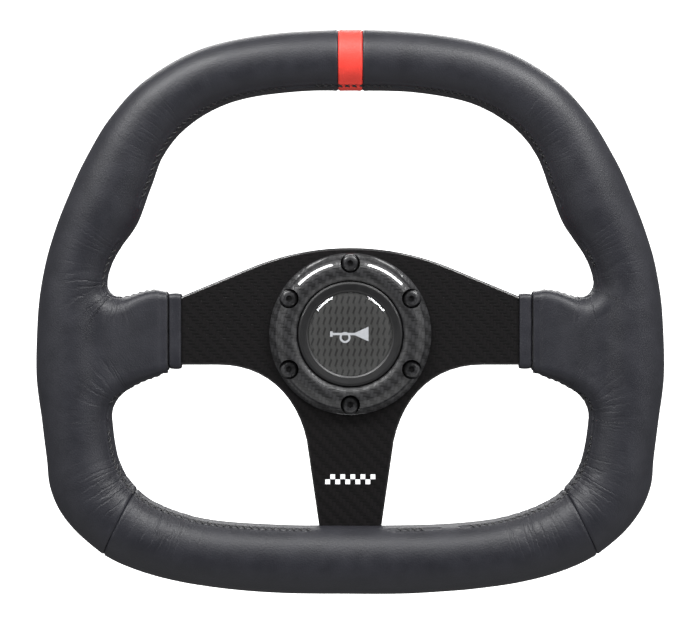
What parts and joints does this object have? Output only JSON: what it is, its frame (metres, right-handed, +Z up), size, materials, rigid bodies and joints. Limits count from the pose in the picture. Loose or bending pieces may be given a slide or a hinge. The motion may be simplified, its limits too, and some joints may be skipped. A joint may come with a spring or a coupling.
{
  "type": "quick release steering wheel",
  "caption": "Flat-bottomed three-spoke sports steering wheel with carbon spokes, leather rim and horn button, on a ball-lock quick release with a bolt-on column flange.",
  "frame": {"origin": "centre of the column flange's rear face, on the hub's axis", "axes": "+X to the driver's right, +Y from the driver towards the steering column along the hub's axis, +Z up to the red strip at top centre"},
  "size_m": [0.3122, 0.0671, 0.2807],
  "materials": {
    "anodised_grey": "bead-blasted, hard anodised",
    "machined_aluminium": "turned",
    "anodised_red": "red anodised",
    "hard_steel": "ground",
    "ball_steel": "polished",
    "black_steel": "black oxide",
    "spring_steel": "drawn wire",
    "brass": "stamped",
    "moulded_black": "moulded",
    "gloss_black": "polished",
    "carbon": "clear-coated 2x2 twill",
    "carbon_disc": "clear-coated herringbone weave",
    "dome": "cast clear resin",
    "print_white": "printed",
    "emblem_silver": "bright",
    "foam": "skinned foam",
    "leather": "smooth",
    "leather_red": "smooth",
    "thread": "waxed"
  },
  "bodies": {
    "column_hub": {"hub_spigot": "anodised_grey", "drive_keys": "hard_steel", "contact_disc": "moulded_black", "contact_rings": "brass"},
    "wheel": {"release_body": "machined_aluminium", "lock_balls": "ball_steel", "collar_circlip": "spring_steel", "collar_spring": "spring_steel", "pin_carrier": "moulded_black", "contact_pins": "brass", "spoke_core": "machined_aluminium", "spoke_skin_front": "carbon", "spoke_skin_back": "carbon", "spoke_decal": "print_white", "rim_armature": "hard_steel", "tongue_rivets": "hard_steel", "rim_foam": "foam", "leather_left": "leather", "leather_right": "leather", "leather_bottom": "leather", "centre_mark": "leather_red", "seam_thread": "thread", "boot_band_left": "leather", "boot_band_right": "leather", "horn_ring": "carbon", "ring_bolts": "black_steel", "horn_housing": "moulded_black", "horn_fixed_contact": "brass", "horn_terminals": "brass", "horn_springs": "spring_steel"},
    "collar": {"release_collar": "anodised_red"},
    "button": {"button_cap": "gloss_black", "button_contact": "brass", "button_insert": "carbon_disc", "button_emblem": "emblem_silver", "button_dome": "dome"}
  },
  "joints": [
    {"name": "wheel_off", "type": "slide", "parent": "column_hub", "child": "wheel", "axis": [0, -1, 0], "range_m": [0, 0.032]},
    {"name": "collar_pull", "type": "slide", "parent": "wheel", "child": "collar", "axis": [0, -1, 0], "range_m": [0, 0.006], "stiffness_N_per_m": 1400, "springref_m": -0.008, "deforming": ["collar_spring", "lock_balls"]},
    {"name": "horn_press", "type": "slide", "parent": "wheel", "child": "button", "axis": [0, 1, 0], "range_m": [0, 0.0022], "stiffness_N_per_m": 2200, "springref_m": -0.003, "deforming": ["horn_springs"]}
  ]
}
